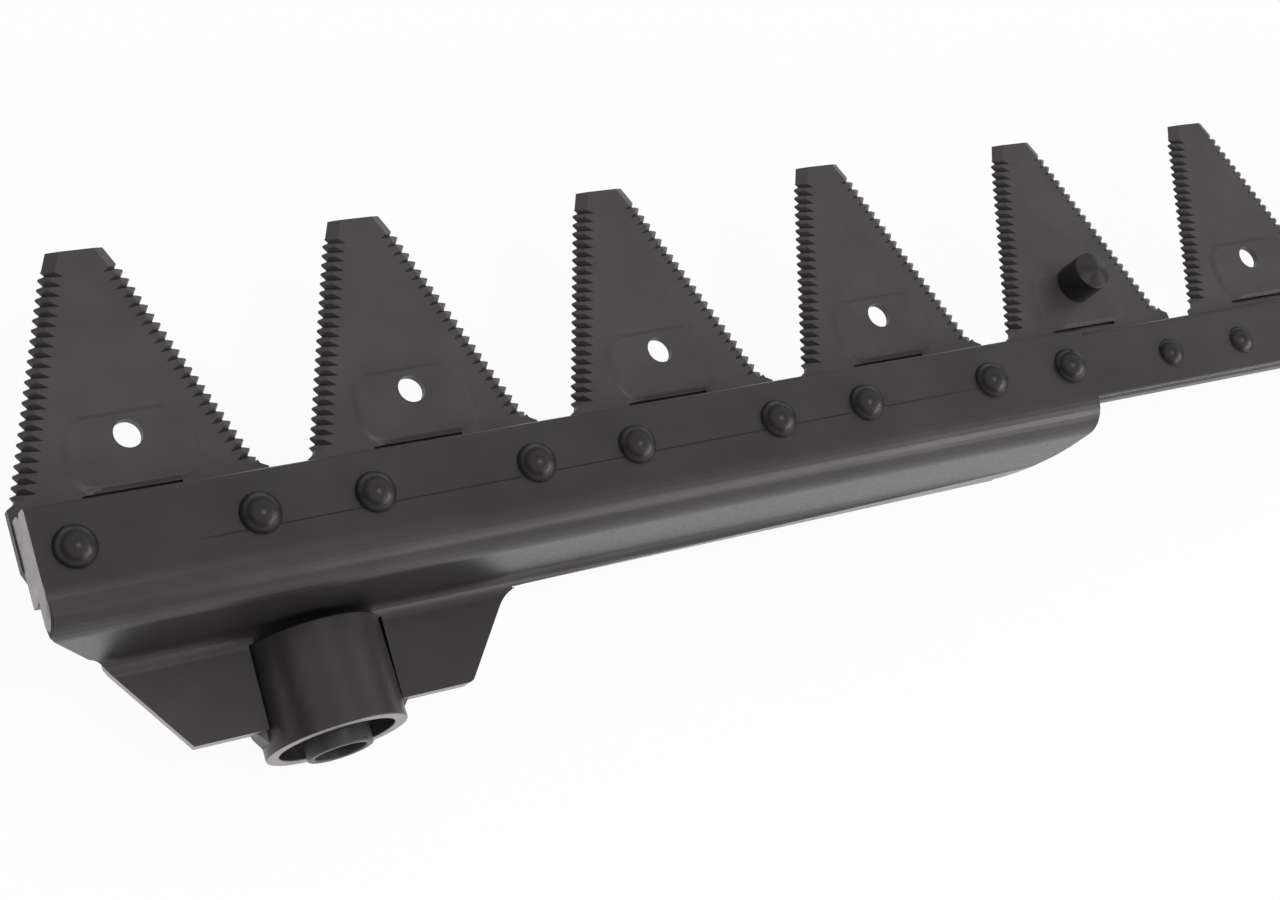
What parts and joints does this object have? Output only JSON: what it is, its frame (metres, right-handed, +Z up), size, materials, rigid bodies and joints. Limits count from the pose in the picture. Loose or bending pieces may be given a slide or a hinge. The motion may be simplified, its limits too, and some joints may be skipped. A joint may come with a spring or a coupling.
{
  "type": "sickle bar mower knife",
  "caption": "Reciprocating mower knife: serrated trapezoid sections riveted side by side to a flat bar, with a bent drive head that carries a rubber-bushed tube.",
  "frame": {"origin": "on the axis of the drive bore at its mouth, the rear end of the bush sleeve", "axes": "+X along the knife from the driven end, +Y forward to the points of the sections, +Z up from the sliding face to the rivet heads"},
  "size_m": [0.7514, 0.1313, 0.0657],
  "materials": {
    "knife_back": "thin black coating, satin",
    "knife_head": "thin black coating, satin, bare where it was cut after coating",
    "section": "hardened steel with a dark oxide skin, satin",
    "drive_tube": "thin black coating, satin, worn on the rim",
    "weld_beads": "thinly coated weld metal",
    "bush_rubber": "matt black",
    "bush_sleeve": "dull grey turned steel",
    "guide_pin": "turned steel with a dark oxide skin",
    "rivets": "dark steel, satin"
  },
  "bodies": {
    "root": {"knife_back": "knife_back", "knife_head": "knife_head", "drive_tube": "drive_tube", "weld_beads": "weld_beads", "bush_rubber": "bush_rubber", "bush_sleeve": "bush_sleeve", "guide_pin": "guide_pin", "head_rivets": "rivets", "bar_rivets": "rivets", "section_01": "section", "section_02": "section", "section_03": "section", "section_04": "section", "section_05": "section", "section_06": "section", "section_07": "section", "section_08": "section", "section_09": "section", "section_10": "section"}
  },
  "joints": []
}
